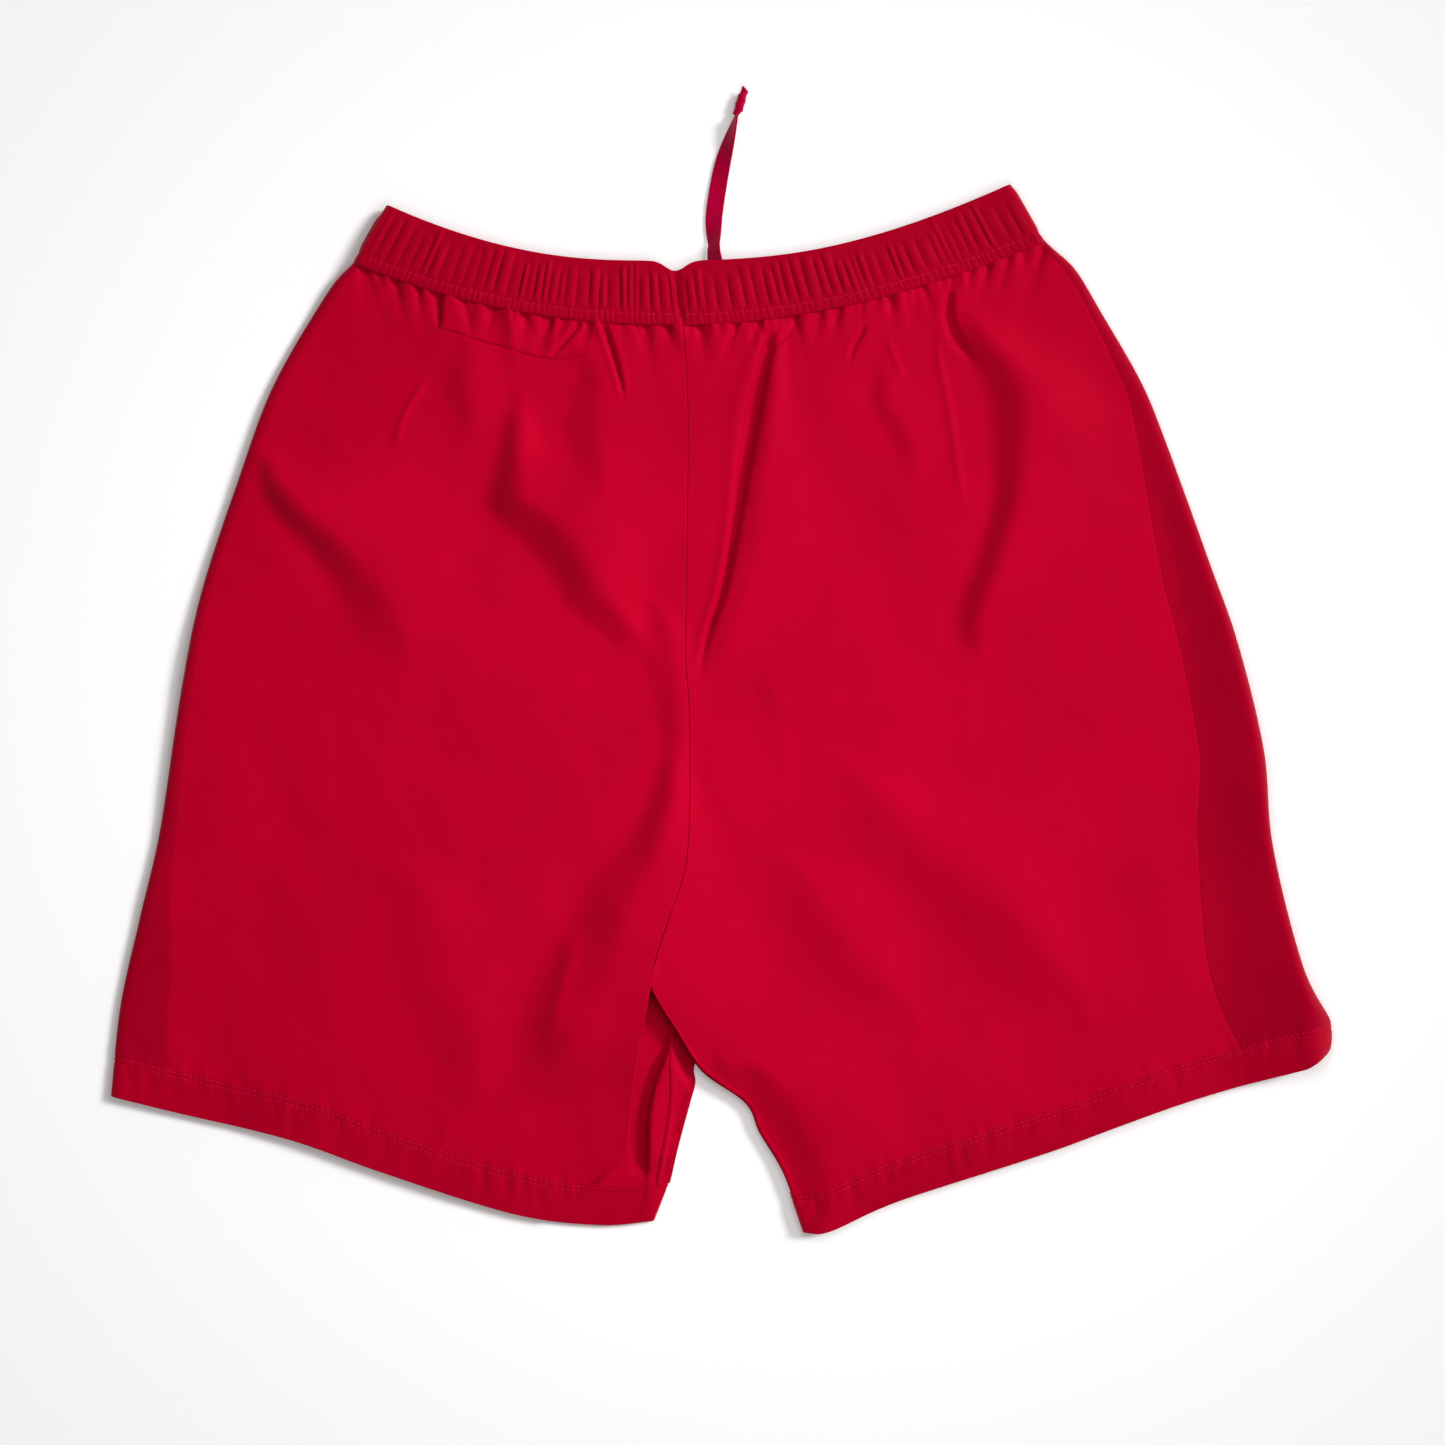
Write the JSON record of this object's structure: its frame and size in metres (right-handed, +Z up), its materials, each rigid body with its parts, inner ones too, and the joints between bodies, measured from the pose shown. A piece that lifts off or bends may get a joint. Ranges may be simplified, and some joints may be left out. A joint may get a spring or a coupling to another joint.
{
  "type": "boxing shorts",
  "caption": "Loose woven athletic shorts with a gathered elastic waistband, side panels, a back pocket and a flat drawcord, lying flat with the back up.",
  "frame": {"origin": "on the surface that the shorts lie on, under the middle of their outline without the drawcord's free ends", "axes": "+X towards the wearer's right, +Y towards the waistband, +Z up out of the shorts' back"},
  "size_m": [0.646, 0.6048, 0.0122],
  "materials": {
    "shell_fabric": "plain woven polyester, satin matt",
    "waistband_fabric": "plain woven polyester gathered on elastic",
    "side_fabric": "plain woven polyester, satin matt",
    "pocket_fabric": "thin knitted lining",
    "elastic": "braided elastic",
    "drawcord_tape": "flat woven tape",
    "thread": "polyester sewing thread",
    "label": "blank woven label"
  },
  "bodies": {
    "right_half": {"right_back_panel": "shell_fabric", "right_front_panel": "shell_fabric", "right_side_panel": "side_fabric", "right_inseam": "shell_fabric", "right_back_hem": "shell_fabric", "right_front_hem": "shell_fabric", "right_hem_stitching": "thread", "right_back_waistband": "waistband_fabric", "right_side_waistband": "waistband_fabric", "right_front_waistband": "waistband_fabric", "right_waist_elastic": "elastic", "right_waistband_stitching": "thread", "right_drawcord_run": "drawcord_tape", "right_drawcord_slot": "thread", "right_drawcord_end": "drawcord_tape", "right_drawcord_knot": "drawcord_tape", "centre_back_seam": "shell_fabric", "centre_front_seam": "shell_fabric", "right_side_pocket_bag": "pocket_fabric", "size_label": "label"},
    "left_half": {"left_back_panel": "shell_fabric", "left_front_panel": "shell_fabric", "left_side_panel": "side_fabric", "left_inseam": "shell_fabric", "left_back_hem": "shell_fabric", "left_front_hem": "shell_fabric", "left_hem_stitching": "thread", "left_back_waistband": "waistband_fabric", "left_side_waistband": "waistband_fabric", "left_front_waistband": "waistband_fabric", "left_waist_elastic": "elastic", "left_waistband_stitching": "thread", "left_drawcord_run": "drawcord_tape", "left_drawcord_slot": "thread", "left_drawcord_end": "drawcord_tape", "left_drawcord_knot": "drawcord_tape", "left_side_pocket_bag": "pocket_fabric", "back_pocket_welt": "shell_fabric", "back_pocket_bag": "pocket_fabric", "care_label": "label"}
  },
  "joints": [
    {"name": "fold_in_half", "type": "hinge", "parent": "right_half", "child": "left_half", "pos_m": [-0.019, 0, 0.018], "axis": [0, 1, 0], "range_deg": [0, 179]}
  ]
}
